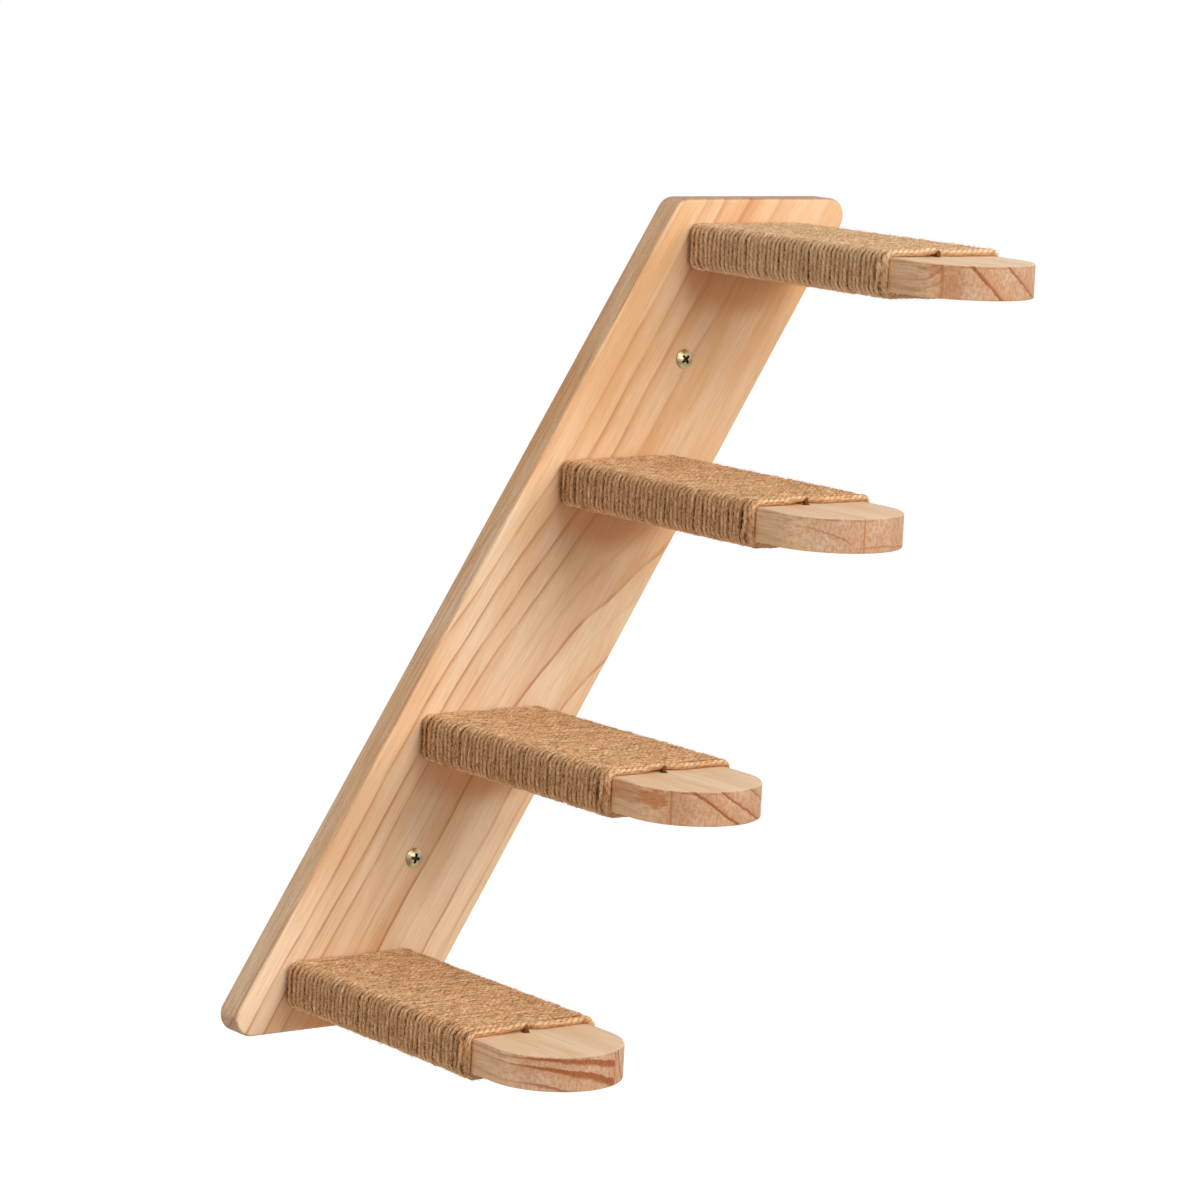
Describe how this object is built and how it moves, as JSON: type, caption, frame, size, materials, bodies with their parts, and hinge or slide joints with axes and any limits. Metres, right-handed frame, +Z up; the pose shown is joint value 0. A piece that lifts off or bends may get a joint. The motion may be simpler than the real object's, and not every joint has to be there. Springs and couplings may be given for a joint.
{
  "type": "cat wall shelf",
  "caption": "Wall-mounted cat ladder: a slanted pine board with level ends carries planks with half-round noses, each wound with jute twine as a step.",
  "frame": {"origin": "the middle of the board's back face, which lies flat on the wall", "axes": "+Y points into the wall, +Z up, and the board leans towards +X as it rises"},
  "size_m": [0.3808, 0.272, 0.44],
  "materials": {
    "board_pine": "sanded clear pine, satin",
    "step_pine": "sanded clear pine, satin",
    "jute_twine": "natural three-ply jute twine, fuzzy",
    "wall_screw_steel": "yellow-passivated zinc plate",
    "step_screw_steel": "yellow-passivated zinc plate"
  },
  "bodies": {
    "root": {"backboard": "board_pine", "step_plank_1": "step_pine", "step_plank_2": "step_pine", "step_plank_3": "step_pine", "step_plank_4": "step_pine", "twine_wrap_1": "jute_twine", "twine_wrap_2": "jute_twine", "twine_wrap_3": "jute_twine", "twine_wrap_4": "jute_twine", "wall_screw_upper": "wall_screw_steel", "wall_screw_lower": "wall_screw_steel", "step_screw_1_left": "step_screw_steel", "step_screw_1_right": "step_screw_steel", "step_screw_2_left": "step_screw_steel", "step_screw_2_right": "step_screw_steel", "step_screw_3_left": "step_screw_steel", "step_screw_3_right": "step_screw_steel", "step_screw_4_left": "step_screw_steel", "step_screw_4_right": "step_screw_steel"}
  },
  "joints": []
}
